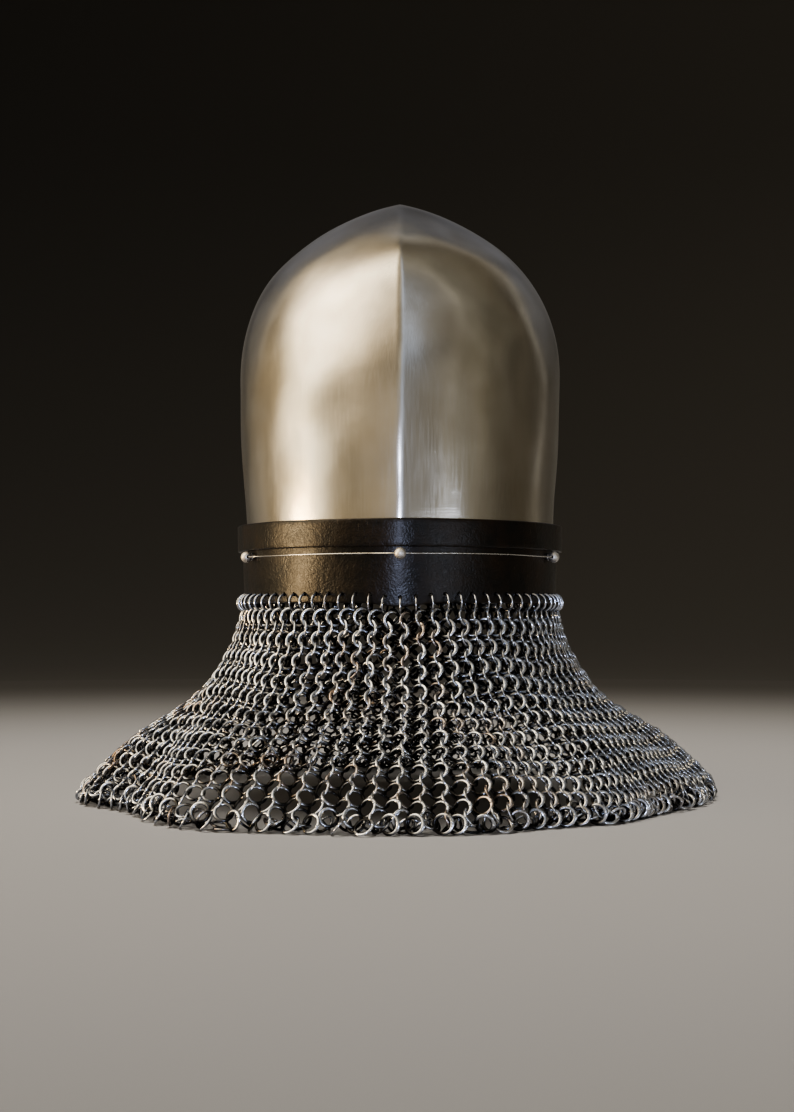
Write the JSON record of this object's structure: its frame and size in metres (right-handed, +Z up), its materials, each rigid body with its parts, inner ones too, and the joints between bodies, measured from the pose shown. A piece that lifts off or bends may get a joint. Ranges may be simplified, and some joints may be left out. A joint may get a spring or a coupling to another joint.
{
  "type": "medieval helmet",
  "caption": "Bascinet: a keeled, pointed steel skull with an open face, a leather band on pierced studs and a mail curtain spread on the floor.",
  "frame": {"origin": "on the floor, under the middle of the helmet as it stands on its spread mail", "axes": "+Z up through the point, -Y out of the face opening, +X to the wearer's left"},
  "size_m": [0.4126, 0.4146, 0.375],
  "materials": {
    "skull": "satin polish with fine brushing",
    "leather_band": "dark brown-black, worn",
    "upper_strap": "dark brown-black, worn",
    "vervelle": "filed bright",
    "lacing_wire": "bright drawn wire",
    "mail_curtain": "oiled steel rings, lightly browned"
  },
  "bodies": {
    "root": {"skull": "skull", "leather_band": "leather_band", "upper_strap": "upper_strap", "lacing_wire": "lacing_wire", "mail_curtain": "mail_curtain", "vervelle_nape": "vervelle", "vervelle_side_left": "vervelle", "vervelle_side_right": "vervelle", "vervelle_cheek_left": "vervelle", "vervelle_cheek_right": "vervelle", "vervelle_temple_left": "vervelle", "vervelle_temple_right": "vervelle"}
  },
  "joints": []
}
